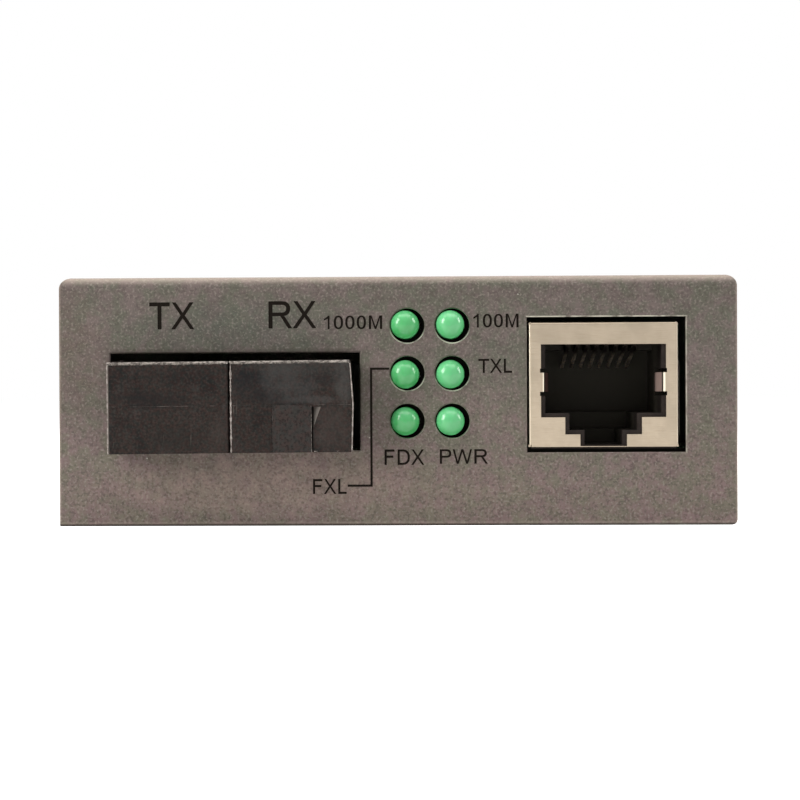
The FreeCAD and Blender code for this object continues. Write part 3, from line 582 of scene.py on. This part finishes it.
def makeLampResin(setup):
    constants = {
        "Roughness": setup["roughness"],
        "Specular IOR Level": setup["gloss"],
        "Subsurface Weight": setup["milky"],
        "Subsurface Radius": setup["scatter"],
        "Subsurface Scale": 1.0,
    }
    material, tree, shader = newFinish("lampResin", constants)
    faceX, faceY, faceZ = facing(tree)
    # Painted light on the crown and painted shade on the foot.
    colour = mixColours(tree, fade(tree, faceZ, -0.75, 0.1), setup["foot"], setup["side"])
    colour = layOver(tree, colour, setup["crown"], fade(tree, faceZ, 0.0, 0.8))
    haze = fade(tree, noise(tree, 0.5, 2, 0.5), 0.35, 0.7)
    colour = layOver(tree, colour, setup["crown"], haze, setup["hazeShare"])
    rightHand = fade(tree, spot(tree)[0], *setup["paleFrom"])
    colour = layOver(tree, colour, setup["pale"], rightHand, setup["paleShare"])
    # Painted glow on the sides that face outward and to the right.
    outward, rightward = fade(tree, faceY, -0.6, -0.1), fade(tree, faceX, -0.6, 0.2)
    colour = layOver(tree, colour, setup["rim"], outward, rightward, setup["rimShare"])
    normal = relief(tree, noise(tree, 0.45, 2, 0.5), 0.01)
    connect(tree, shader, colour, None, normal)
    return material


# Plain mouldings and fired parts: two shades, a fine surface and a roughness of their own.
# The jack's moulding also has painted shade on the walls at its mouth, and a lighter tone deeper in as
# painted light.
mouldedFinishes = {
    "black_moulding": {
        "light": (46, 40, 37), "dark": (32, 27, 25), "grain": 0.25, "height": 0.008,
        "roughness": 0.55, "gloss": 0.1, "walls": (24, 20, 18), "wallsFrom": (0.9, 1.4),
        "deep": (56, 53, 46), "deepFrom": (3.0, 6.0),
    },
    "chip_epoxy": {
        "light": (52, 52, 54), "dark": (36, 36, 38), "grain": 0.12, "height": 0.008,
        "roughness": 0.62, "gloss": 0.3,
    },
    "ferrite": {
        "light": (66, 66, 70), "dark": (42, 42, 45), "grain": 0.18, "height": 0.02,
        "roughness": 0.8, "gloss": 0.3,
    },
    "ceramic_part": {
        "light": (178, 150, 118), "dark": (146, 118, 90), "grain": 0.2, "height": 0.01,
        "roughness": 0.6, "gloss": 0.3,
    },
    "white_sleeve": {
        "light": (236, 233, 222), "dark": (218, 214, 201), "grain": 0.1, "height": 0.002,
        "roughness": 0.3, "gloss": 0.5,
    },
}


def makeMoulded(name, setup):
    material, tree, shader = newFinish(name, {"Specular IOR Level": setup["gloss"]})
    cloud = fade(tree, noise(tree, 1.8, 3, 0.6), 0.35, 0.68)
    colour = mixColours(tree, cloud, setup["light"], setup["dark"])
    # Painted shade on the walls at the jack's mouth, and painted light deeper in.
    for layer in ("walls", "deep"):
        if layer in setup:
            behind = fade(tree, spot(tree)[1], *behindPanel(setup[layer + "From"]))
            colour = layOver(tree, colour, setup[layer], behind)
    grain = noise(tree, setup["grain"], 3, 0.6)
    normal = relief(tree, grain, setup["height"])
    roughness = maths(tree, "MULTIPLY_ADD", grain, 0.15, setup["roughness"] - 0.08)
    connect(tree, shader, colour, roughness, normal)
    return material


# Bare and plated metals, with a fine lay along one axis.
metalFinishes = {
    "zinc_screw": {
        "light": (146, 148, 148), "dark": (104, 106, 108), "lay": (1, 1, 1), "roughness": 0.36,
    },
    "brass_standoff": {
        "light": (214, 190, 122), "dark": (176, 146, 84), "lay": (1, 1, 6), "roughness": 0.3,
    },
    "tinned_lead": {
        "light": (158, 158, 154), "dark": (112, 112, 110), "lay": (1, 1, 1), "roughness": 0.45,
    },
    "can_metal": {
        "light": (212, 212, 212), "dark": (182, 182, 184), "lay": (1, 1, 5), "roughness": 0.28,
    },
    "gold_contact": {
        "light": (206, 193, 172), "dark": (128, 118, 104), "lay": (1, 0.1, 1), "roughness": 0.5,
        # painted shade on the contacts towards their roots
        "root": (40, 35, 31), "rootFrom": (17.5, 18.3),
    },
}


def makeMetal(name, setup):
    material, tree, shader = newFinish(name, {"Metallic": 1.0})
    cloud = fade(tree, noise(tree, 0.8, 3, 0.6), 0.35, 0.7)
    colour = mixColours(tree, cloud, setup["light"], setup["dark"])
    # Painted shade towards the roots of the contacts.
    if "root" in setup:
        colour = layOver(tree, colour, setup["root"], fade(tree, spot(tree)[2], *setup["rootFrom"]))
    lay = noise(tree, 0.09, 2, 0.5, setup["lay"])
    normal = relief(tree, lay, 0.005, 0.6)
    roughness = maths(tree, "MULTIPLY_ADD", lay, 0.16, setup["roughness"] - 0.08)
    connect(tree, shader, colour, roughness, normal)
    return material


boardMask = {
    "mask": (22, 84, 44), "track": (36, 112, 60), "edge": (34, 32, 24), "roughness": 0.4, "cell": 6.0,
    "trackDepth": 0.03,
}


# Solder mask over copper tracks, drawn as square rings in cells, with painted shade on the board's
# edges.
def makeBoardMask(setup):
    constants = {"Specular IOR Level": 0.06, "Roughness": setup["roughness"]}
    material, tree, shader = newFinish("boardLaminate", constants)
    cells = tree.nodes.new("ShaderNodeTexVoronoi")
    cells.distance = "CHEBYCHEV"
    cells.feature = "F1"
    cells.inputs["Scale"].default_value = 1 / setup["cell"]
    tree.links.new(place(tree, (1, 1, 0.01)), cells.inputs["Vector"])
    rings = maths(tree, "PINGPONG", product(tree, cells.outputs["Distance"], setup["cell"]), 0.5)
    tracks = fade(tree, rings, 0.26, 0.3)
    colour = mixColours(tree, tracks, setup["mask"], setup["track"])
    # Painted shade on the board's edges.
    edges = fade(tree, awayFrom(tree, facing(tree)[2]), 0.6, 0.4)
    colour = layOver(tree, colour, setup["edge"], edges)
    normal = relief(tree, tracks, setup["trackDepth"])
    normal = relief(tree, noise(tree, 0.4, 2), 0.006, under=normal)
    connect(tree, shader, colour, None, normal)
    return material


ink = {"black": (22, 18, 14), "worn": (38, 33, 29), "wornShare": 0.7, "roughness": 0.7}


# Ink follows the grain of the coat under it.
def makeInk(setup):
    material, tree, shader = newFinish("legendInk", {"Specular IOR Level": 0.05})
    thin = fade(tree, noise(tree, 0.16, 3, 0.6), 0.5, 0.8)
    colour = layOver(tree, setup["black"], setup["worn"], thin, setup["wornShare"])
    sand = noise(tree, powderCoat["grain"], 3, 0.6)
    normal = relief(tree, sand, powderCoat["grainHeight"] * 0.6)
    roughness = maths(tree, "MULTIPLY_ADD", sand, 0.1, setup["roughness"])
    connect(tree, shader, colour, roughness, normal)
    return material


def makeFinishes():
    finishes = {
        "painted_steel": makePowderCoat(powderCoat, panelLightAndWear),
        "plug_moulding": makePlugPlastic(plugPlastic),
        "nickel_shield": makeNickelPlate(nickelPlate),
        "lamp_resin": makeLampResin(lampResin),
        "board_laminate": makeBoardMask(boardMask),
        "legendInk": makeInk(ink),
    }
    families = ((makeRidge, plugRidges), (makeMoulded, mouldedFinishes), (makeMetal, metalFinishes))
    for make, setups in families:
        for name, setup in setups.items():
            finishes[name] = make(name, setup)
    return finishes


# The CAD's materials are named for their finish.
def finishCadNodes(finishes):
    for node in cadNodes.values():
        for socket in node.material_slots:
            socket.material = finishes[socket.material.name.split(".")[0]]


# Letter outlines one cap height tall. A letter is its width, then its outer edge and any hole.
stroke = 0.145
bowFullness = 2.3  # 2 is a plain ellipse, and more is squarer


# Points on part of a rounded bow, from a start to an end angle in degrees.
def bow(centre, reach, start, end, steps=10):
    points = []
    for i in range(steps + 1):
        turn = math.radians(start + (end - start) * i / steps)
        c, s = math.cos(turn), math.sin(turn)
        x = math.copysign(abs(c) ** (2 / bowFullness), c) * reach[0]
        z = math.copysign(abs(s) ** (2 / bowFullness), s) * reach[1]
        points.append((centre[0] + x, centre[1] + z))
    return points


# The stem and bow that P and R share.
def stemAndBow(width, waist):
    s = stroke
    middle = (waist + 1) / 2
    root = width - (1 - waist) / 2 - 0.02
    outer = bow((root, middle), (width - root, (1 - waist) / 2), 90, -90)
    inner = bow((root, middle), (width - root - s, (1 - waist) / 2 - s * 0.92), -90, 90)
    hole = [(s, waist + s * 0.92)] + inner + [(s, 1 - s * 0.92)]
    return outer, hole


# Bowed letters are a little thinner across their tops and feet.
def letterShapes():
    s = stroke
    letters = {}
    letters["T"] = (0.76, [[
        (0, 1), (0, 1 - s), (0.38 - s / 2, 1 - s), (0.38 - s / 2, 0),
        (0.38 + s / 2, 0), (0.38 + s / 2, 1 - s), (0.76, 1 - s), (0.76, 1),
    ]])
    letters["L"] = (0.58, [[(0, 1), (0, 0), (0.58, 0), (0.58, s), (s, s), (s, 1)]])
    letters["F"] = (0.65, [[
        (0, 1), (0, 0), (s, 0), (s, 0.46), (0.57, 0.46), (0.57, 0.46 + s),
        (s, 0.46 + s), (s, 1 - s), (0.65, 1 - s), (0.65, 1),
    ]])
    letters["X"] = (0.86, [[
        (0, 0), (0.35, 0.51), (0.03, 1), (0.175, 1), (0.43, 0.61), (0.685, 1), (0.83, 1),
        (0.51, 0.51), (0.86, 0), (0.71, 0), (0.43, 0.41), (0.15, 0),
    ]])
    letters["M"] = (0.86, [[
        (0, 0), (0, 1), (0.175, 1), (0.43, 0.19), (0.685, 1), (0.86, 1), (0.86, 0),
        (0.86 - s, 0), (0.86 - s, 0.83), (0.485, 0), (0.375, 0), (s, 0.83), (s, 0),
    ]])
    letters["W"] = (1.24, [[
        (0, 1), (0.13, 1), (0.32, 0.19), (0.555, 1), (0.685, 1), (0.92, 0.19), (1.11, 1), (1.24, 1),
        (0.985, 0), (0.855, 0), (0.62, 0.81), (0.385, 0), (0.255, 0),
    ]])
    letters["1"] = (0.36, [[
        (0.24, 0), (0.24, 0.78), (0, 0.63), (0, 0.75), (0.28, 1), (0.36, 1), (0.36, 0),
    ]])
    ring = bow((0.30, 0.5), (0.30, 0.5), 0, 360, 36)[:-1]
    hole = bow((0.30, 0.5), (0.30 - s, 0.5 - s * 0.85), 0, -360, 36)[:-1]
    letters["0"] = (0.60, [ring, hole])
    ring = [(0, 0), (0, 1)] + bow((0.33, 0.5), (0.47, 0.5), 90, -90, 20)
    inner = bow((0.33, 0.5), (0.47 - s, 0.5 - s * 0.95), -90, 90, 20)
    hole = [(s, s * 0.95)] + inner + [(s, 1 - s * 0.95)]
    letters["D"] = (0.80, [ring, hole])
    outer, hole = stemAndBow(0.74, 0.42)
    letters["P"] = (0.74, [[(s, 0), (0, 0), (0, 1)] + outer + [(s, 0.42)], hole])
    outer, hole = stemAndBow(0.79, 0.45)
    leg = [(0.58, 0.45), (0.86, 0), (0.71, 0), (0.43, 0.45)]
    letters["R"] = (0.86, [[(s, 0), (0, 0), (0, 1)] + outer + leg + [(s, 0.45)], hole])
    return letters


# Gaps on the left and right of each letter, in cap heights.
letterGaps = {
    "T": (0.03, 0.03), "L": (0.11, 0.05), "F": (0.12, 0.08), "X": (0.02, 0.02), "M": (0.11, 0.11),
    "W": (0.02, 0.02), "1": (0.17, 0.20), "0": (0.07, 0.07), "D": (0.12, 0.06), "P": (0.12, 0.06),
    "R": (0.12, 0.0),
}


inkDepth = 0.02
legends = {
    "legend_transmit": {"text": "TX", "x": (-25.97, -21.23), "z": (20.68, 23.5)},
    "legend_receive": {"text": "RX", "x": (-13.42, -8.4), "z": (20.72, 23.56)},
    "legend_gigabit": {"text": "1000M", "x": (-7.6, -1.5), "z": (20.6, 22.02)},
    "legend_fast_rate": {"text": "100M", "x": (8.04, 12.76), "z": (20.7, 22.12)},
    "legend_copper_link": {"text": "TXL", "x": (8.55, 12.06), "z": (15.95, 17.42)},
    "legend_duplex": {"text": "FDX", "x": (-1.31, 2.86), "z": (6.36, 7.98)},
    "legend_power": {"text": "PWR", "x": (4.47, 9.5), "z": (6.46, 7.98)},
    "legend_fibre_link": {"text": "FXL", "x": (-8.82, -5.3), "z": (3.34, 4.9)},
}
leaderLine = {"route": [(-5.18, 4.2), (-2.68, 4.2), (-2.68, 16.44), (-0.8, 16.44)], "width": 0.23}


# A thin layer of ink on the panel, with its loops given in millimetres.
def printLoops(name, loops, material):
    curve = bpy.data.curves.new(name, "CURVE")
    curve.dimensions = "2D"
    curve.fill_mode = "BOTH"
    curve.extrude = inkDepth / 2 * mm
    for loop in loops:
        spline = curve.splines.new("POLY")
        spline.points.add(len(loop) - 1)
        for point, (x, z) in zip(spline.points, loop):
            point.co = (x * mm, z * mm, 0, 1)
        spline.use_cyclic_u = True
    drawn = bpy.data.objects.new(name + "Curve", curve)
    mesh = bpy.data.meshes.new_from_object(drawn)
    for vertex in mesh.vertices:
        x, z, out = vertex.co
        vertex.co = (x, (panelFace - inkDepth / 2) * mm - out, z)
    mesh.name = name
    bpy.data.objects.remove(drawn)
    piece = bpy.data.objects.new(name, mesh)
    scene.collection.objects.link(piece)
    dress(piece, material, "converter")


# Sets a word's letters side by side, one cap height tall, and gives their loops and whole width.
def setWord(text, letters):
    loops, reach = [], 0.0
    for i, letter in enumerate(text):
        width, outline = letters[letter]
        before, after = letterGaps[letter]
        reach += before if i else 0
        loops += [[(x + reach, z) for x, z in loop] for loop in outline]
        reach += width + (after if i < len(text) - 1 else 0)
    return loops, reach


def printLegends(material):
    letters = letterShapes()
    for name, legend in legends.items():
        loops, reach = setWord(legend["text"], letters)
        (x0, x1), (z0, z1) = legend["x"], legend["z"]
        scaled = [[(x0 + x / reach * (x1 - x0), z0 + z * (z1 - z0)) for x, z in loop] for loop in loops]
        printLoops(name, scaled, material)
    h = leaderLine["width"] / 2
    (ax, az), (bx, bz), (cx, cz), (dx, dz) = leaderLine["route"]
    loop = [
        (ax, az - h), (bx + h, bz - h), (cx + h, cz - h), (dx, dz - h),
        (dx, dz + h), (cx - h, cz + h), (bx - h, bz + h), (ax, az + h),
    ]
    printLoops("legend_leader_line", [loop], material)


# The plugs lean a little in their ports, about the middle of the optical nose.
plugSet = {"centre": (-17.3, 12.55), "lean": 0.4, "face": -50.0}  # lean in degrees
ridgeForm = {
    "step": 0.14,
    "steady": 0.6,  # how much of its wander carries over from one step to the next
    "thinnest": 0.25,
    "lift": 0.02,
    "liftMore": 0.015,
    "sunk": 0.01,
}
# Routes lie on the faces of upright plugs, and out sets a ridge on the raised tab.
plugEdges = {
    "receive_left_burr": {
        "body": "receive_plug", "route": [(-17.06, 7.8), (-17.06, 17.0)],
        "width": 0.17, "ragged": 0.8,
    },
    "receive_right_burr": {
        "body": "receive_plug", "route": [(-4.6, 7.8), (-4.44, 12.65), (-4.72, 16.95)],
        "width": 0.13, "ragged": 0.3,
    },
    "transmit_left_burr": {
        "body": "transmit_plug", "route": [(-29.86, 7.8), (-29.86, 16.95)],
        "width": 0.12, "ragged": 0.3,
    },
    "transmit_mould_line": {
        "body": "transmit_plug", "route": [(-29.7, 12.65), (-17.5, 12.65)],
        "width": 0.05, "ragged": 1.4, "finish": "mouldFlash",
    },
    "receive_mould_line": {
        "body": "receive_plug", "route": [(-16.9, 12.65), (-4.7, 12.65)],
        "width": 0.04, "ragged": 1.4, "finish": "mouldFlash",
    },
    "transmit_top_burr": {
        "body": "transmit_plug", "route": [(-29.7, 17.06), (-17.5, 17.03)],
        "width": 0.2, "ragged": 1.1, "finish": "tornEdge",
    },
    "receive_top_burr": {
        "body": "receive_plug", "route": [(-17.1, 17.03), (-4.9, 17.03)],
        "width": 0.16, "ragged": 1.1, "finish": "tornEdge",
    },
    "tab_left_burr": {
        "body": "receive_plug", "route": [(-12.74, 7.8), (-12.74, 12.6)],
        "width": 0.05, "ragged": 0.9, "finish": "mouldFlash", "out": 0.11,
    },
    "receive_chip_a": {
        "body": "receive_plug", "route": [(-8.5, 7.84), (-8.15, 7.86)],
        "width": 0.12, "ragged": 1.2,
    },
    "receive_chip_b": {
        "body": "receive_plug", "route": [(-6.15, 7.84), (-5.95, 7.86)],
        "width": 0.09, "ragged": 1.2,
    },
    "tab_right_burr": {
        "body": "receive_plug", "route": [(-8.76, 7.8), (-8.76, 12.6)],
        "width": 0.07, "ragged": 0.6, "finish": "tornEdge", "out": 0.11,
    },
}


# Where a spot on an upright plug's face comes to lie once the plug leans.
def leanedSpot(x, z):
    centreX, centreZ = plugSet["centre"]
    turn = math.radians(plugSet["lean"])
    c, s = math.cos(turn), math.sin(turn)
    dx, dz = x - centreX, z - centreZ
    return centreX + dx * c - dz * s, centreZ + dx * s + dz * c


# Evenly spaced points on a route, each with the direction that crosses the route there.
def routePoints(route):
    points = []
    for (ax, az), (bx, bz) in zip(route, route[1:]):
        length = math.hypot(bx - ax, bz - az)
        steps = max(2, round(length / ridgeForm["step"]))
        side = ((bz - az) / length, -(bx - ax) / length)
        for i in range(steps):
            t = i / steps
            points.append(((ax + (bx - ax) * t, az + (bz - az) * t), side))
    points.append((route[-1], side))
    return points


# A thin ragged ridge along a route over a plug's face.
def addRidge(name, setup, material, rng):
    points = routePoints(setup["route"])
    half = setup["width"] / 2
    face = plugSet["face"] - setup.get("out", 0.0)
    sunk = -ridgeForm["sunk"]
    vertices, faces = [], []
    drift = 0.0
    for (x, z), (sideX, sideZ) in points:
        drift = ridgeForm["steady"] * drift + rng.uniform(-1, 1) * setup["ragged"] * 0.5
        swell = half * max(ridgeForm["thinnest"], 1 + drift)
        lift = ridgeForm["lift"] + ridgeForm["liftMore"] * rng.random()
        for across, out in ((-swell, sunk), (-swell * 0.5, lift), (swell * 0.5, lift), (swell, sunk)):
            px, pz = leanedSpot(x + sideX * across, z + sideZ * across)
            vertices.append((px * mm, (face - out) * mm, pz * mm))
    for i in range(len(points) - 1):
        a, b = 4 * i, 4 * i + 4
        faces += [(a + k, a + k + 1, b + k + 1, b + k) for k in range(3)] + [(a + 3, a, b, b + 3)]
    last = 4 * len(points) - 4
    faces += [(3, 2, 1, 0), (last, last + 1, last + 2, last + 3)]
    piece = addMesh(name, vertices, faces, smooth=True)
    turnFacesOut(piece)
    dress(piece, material, setup["body"])


def turnFacesOut(piece):
    draft = bmesh.new()
    draft.from_mesh(piece.data)
    bmesh.ops.recalc_face_normals(draft, faces=draft.faces)
    draft.to_mesh(piece.data)
    draft.free()


def addRidges(finishes):
    rng = random.Random(7)
    for name, setup in plugEdges.items():
        addRidge(name, setup, finishes[setup.get("finish", "plugBurr")], rng)


cameraSetup = {
    "place": (4.6, -227.0, 14.0),
    "turnLeft": 1.358,  # degrees
    "tiltUp": -0.269,
    "roll": 0.242,
    "lens": 77.4,
    "sensor": 36.0,
    "clip": (0.005, 20),  # metres
}


def addCamera(setup):
    camera = bpy.data.objects.new("camera", bpy.data.cameras.new("camera"))
    scene.collection.objects.link(camera)
    turn, tilt = math.radians(setup["turnLeft"]), math.radians(setup["tiltUp"])
    aim = Vector((-math.sin(turn) * math.cos(tilt), math.cos(turn) * math.cos(tilt), math.sin(tilt)))
    camera.rotation_mode = "QUATERNION"
    level = aim.to_track_quat("-Z", "Y")
    camera.rotation_quaternion = level @ Quaternion((0, 0, 1), -math.radians(setup["roll"]))
    camera.location = Vector(setup["place"]) * mm
    camera.data.lens = setup["lens"]
    camera.data.sensor_width = setup["sensor"]
    camera.data.clip_start, camera.data.clip_end = setup["clip"]
    scene.camera = camera


# Soft boxes that all face the middle of the port panel. Power is in watts.
softBoxes = {
    "key": {
        "place": (-330, -193, 185), "size": (150, 250), "power": 1.45, "colour": (1.0, 0.985, 0.96),
    },
    "fill": {
        "place": (358, -60, 184), "size": (100, 230), "power": 0.8, "colour": (1.0, 0.99, 0.97),
    },
    "top": {
        "place": (10, -20, 430), "size": (620, 480), "power": 2.5, "colour": (1.0, 0.98, 0.955),
    },
}
panelMiddle = (0, panelFace, 13)
studioSetup = {"dimLevel": 0.19, "dimColour": (1.0, 0.995, 0.985, 1)}
stageSetup = {"floorSize": 6000, "floorWhite": 0.8, "ownLight": 0.86}


def addSoftBox(name, setup):
    light = bpy.data.lights.new(name, "AREA")
    light.shape = "RECTANGLE"
    light.size, light.size_y = setup["size"][0] * mm, setup["size"][1] * mm
    light.energy = setup["power"]
    light.color = setup["colour"]
    softBox = bpy.data.objects.new(name, light)
    softBox.location = Vector(setup["place"]) * mm
    aim = Vector(panelMiddle) * mm - softBox.location
    softBox.rotation_euler = aim.to_track_quat("-Z", "Y").to_euler()
    scene.collection.objects.link(softBox)


# 1 for camera, glossy and transmission rays, which see a white studio, and 0 for rays that light it.
def studioRays(tree):
    path = tree.nodes.new("ShaderNodeLightPath")
    total = maths(tree, "ADD", path.outputs["Is Camera Ray"], path.outputs["Is Glossy Ray"])
    return maths(tree, "MINIMUM", maths(tree, "ADD", total, path.outputs["Is Transmission Ray"]), 1.0)


def addStudio(setup):
    world = bpy.data.worlds.new("studio")
    scene.world = world
    world.use_nodes = True
    tree = world.node_tree
    tree.nodes.clear()
    out = tree.nodes.new("ShaderNodeOutputWorld")
    dim = tree.nodes.new("ShaderNodeBackground")
    dim.inputs["Color"].default_value = setup["dimColour"]
    dim.inputs["Strength"].default_value = setup["dimLevel"]
    white = tree.nodes.new("ShaderNodeBackground")
    white.inputs["Color"].default_value = (1, 1, 1, 1)
    white.inputs["Strength"].default_value = 1.0
    mix = tree.nodes.new("ShaderNodeMixShader")
    tree.links.new(studioRays(tree), mix.inputs[0])
    tree.links.new(dim.outputs[0], mix.inputs[1])
    tree.links.new(white.outputs[0], mix.inputs[2])
    tree.links.new(mix.outputs[0], out.inputs["Surface"])


def addFloor(setup):
    half = setup["floorSize"] / 2 * mm
    corners = [(-half, -half, 0), (half, -half, 0), (half, half, 0), (-half, half, 0)]
    floor = addMesh("floor", corners, [(0, 1, 2, 3)])
    material = bpy.data.materials.new("floorPaper")
    material.use_nodes = True
    tree = material.node_tree
    tree.nodes.clear()
    out = tree.nodes.new("ShaderNodeOutputMaterial")
    paper = tree.nodes.new("ShaderNodeBsdfDiffuse")
    paper.inputs["Color"].default_value = (setup["floorWhite"],) * 3 + (1,)
    glow = tree.nodes.new("ShaderNodeEmission")
    tree.links.new(product(tree, studioRays(tree), setup["ownLight"]), glow.inputs["Strength"])
    both = tree.nodes.new("ShaderNodeAddShader")
    tree.links.new(paper.outputs[0], both.inputs[0])
    tree.links.new(glow.outputs[0], both.inputs[1])
    tree.links.new(both.outputs[0], out.inputs["Surface"])
    floor.data.materials.append(material)


finishes = makeFinishes()
finishCadNodes(finishes)
print("finishes made:", len(finishes))
printLegends(finishes["legendInk"])
print("legends printed")
addRidges(finishes)
print("wear added")

addStudio(studioSetup)
addFloor(stageSetup)
for boxName, boxSetup in softBoxes.items():
    addSoftBox(boxName, boxSetup)
addCamera(cameraSetup)
scene.view_settings.view_transform = "Standard"
print("studio ready")
